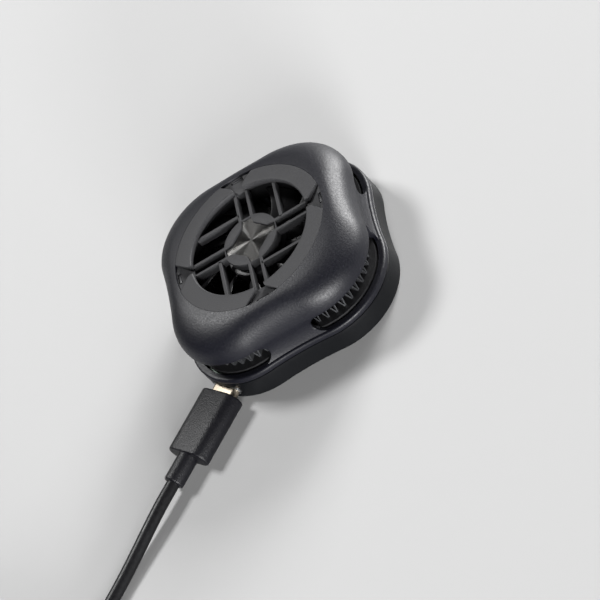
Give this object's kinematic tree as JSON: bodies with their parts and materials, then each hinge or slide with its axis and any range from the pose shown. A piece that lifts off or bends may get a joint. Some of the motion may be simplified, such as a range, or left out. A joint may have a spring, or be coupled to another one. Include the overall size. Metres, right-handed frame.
{
  "type": "phone cooling fan",
  "caption": "Four-lobed magnetic phone cooler with a grilled intake fan, side exhaust slots, a thermoelectric cold plate and a supply lead.",
  "frame": {"origin": "middle of the flat underside, where the cooler lies on the phone", "axes": "+Z along the fan axis towards the intake grille, -Y the way the supply plug leaves its port"},
  "size_m": [0.0699, 0.2435, 0.023],
  "materials": {
    "base_plastic": "satin moulded black",
    "cover_plastic": "satin moulded charcoal",
    "face_plastic": "fine matt texture",
    "inner_plastic": "moulded black",
    "spun_metal": "spun, dark",
    "silicone": "soft matt",
    "aluminium": "turned",
    "black_aluminium": "black anodised",
    "magnet": "nickel plated",
    "steel": "zinc plated",
    "foam": "closed-cell foam",
    "ceramic": "white alumina",
    "pellet": "soldered semiconductor",
    "thermal_pad": "soft",
    "circuit_board": "solder resist",
    "component": "moulded",
    "wire": "insulated",
    "bronze": "sintered",
    "copper": "enamelled",
    "plug_metal": "warm nickel",
    "overmold": "fine spark texture",
    "lead_jacket": "smooth semi-matt",
    "tie": "hook-and-loop strap"
  },
  "bodies": {
    "housing": {"base_housing": "base_plastic", "contact_pad": "silicone", "cold_plate": "aluminium", "magnet_ring": "magnet", "magnet_shield": "steel", "foam_gasket": "foam", "peltier_cold": "ceramic", "peltier_pellets": "pellet", "peltier_hot": "ceramic", "thermal_pad": "thermal_pad", "heat_sink": "black_aluminium", "fin_packs": "black_aluminium", "control_board": "circuit_board", "board_components": "component", "usb_socket_shell": "steel", "usb_socket_tongue": "component", "peltier_leads": "wire", "fan_leads": "wire", "motor_mount": "inner_plastic", "motor_screws": "steel", "motor_board": "circuit_board", "bearing_bush": "bronze", "stator_core": "steel", "stator_coils": "copper", "fan_shroud": "inner_plastic", "top_cover": "cover_plastic", "grille_plate": "face_plastic", "hub_badge": "spun_metal", "case_screws": "steel"},
    "rotor": {"motor_shaft": "steel", "rotor_yoke": "steel", "rotor_magnet": "magnet", "impeller": "inner_plastic"},
    "supply_lead": {"plug_shell": "plug_metal", "plug_overmold": "overmold", "strain_relief": "overmold", "lead": "lead_jacket", "lead_coil": "lead_jacket", "lead_tail": "lead_jacket", "coil_tie": "tie", "supply_relief": "overmold", "supply_overmold": "overmold", "supply_shell": "plug_metal"}
  },
  "joints": [
    {"name": "fan_spin", "type": "hinge", "parent": "housing", "child": "rotor", "pos_m": [0, 0, 0.015], "axis": [0, 0, 1], "continuous": true},
    {"name": "plug_pull", "type": "slide", "parent": "housing", "child": "supply_lead", "axis": [0, -1, 0], "range_m": [0, 0.008]}
  ]
}
